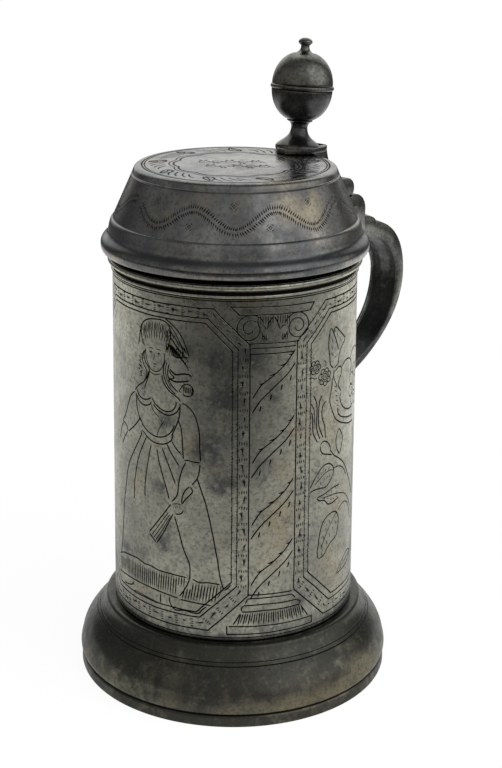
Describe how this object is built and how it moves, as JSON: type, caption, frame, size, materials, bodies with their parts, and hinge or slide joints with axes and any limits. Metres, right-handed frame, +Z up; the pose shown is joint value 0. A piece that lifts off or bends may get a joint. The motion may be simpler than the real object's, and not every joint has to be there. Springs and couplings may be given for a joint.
{
  "type": "lidded tankard",
  "caption": "Pewter drinking tankard with a tapering drum on a flared foot, an ear-shaped strap handle and a hinged two-stage lid with a ball thumbpiece.",
  "frame": {"origin": "middle of the object's bounding box on the plane that the foot stands on; the drum's axis is at x = -19.15 mm", "axes": "+Z up along the drum's axis, +X from the drum's axis towards the handle, +Y completes a right-handed frame"},
  "size_m": [0.1648, 0.1264, 0.2501],
  "materials": {
    "drum_pewter": "light grey worn pewter with engraved lines",
    "lid_pewter": "mid grey worn pewter with engraved lines",
    "foot_pewter": "dark brownish grey tarnished pewter",
    "handle_pewter": "near-black tarnished pewter",
    "pin_iron": "dark iron"
  },
  "bodies": {
    "vessel": {"foot": "foot_pewter", "base_plate": "drum_pewter", "drum": "drum_pewter", "handle": "handle_pewter", "hinge_pin": "pin_iron"},
    "lid": {"lid": "lid_pewter", "lid_strap": "handle_pewter", "thumb_stem": "handle_pewter", "thumb_ball_lower": "handle_pewter", "thumb_ball_upper": "handle_pewter", "thumb_finial": "handle_pewter"}
  },
  "joints": [
    {"name": "lid_hinge", "type": "hinge", "parent": "vessel", "child": "lid", "pos_m": [0.04585, 0, 0.1784], "axis": [0, 1, 0], "range_deg": [0, 95]}
  ]
}
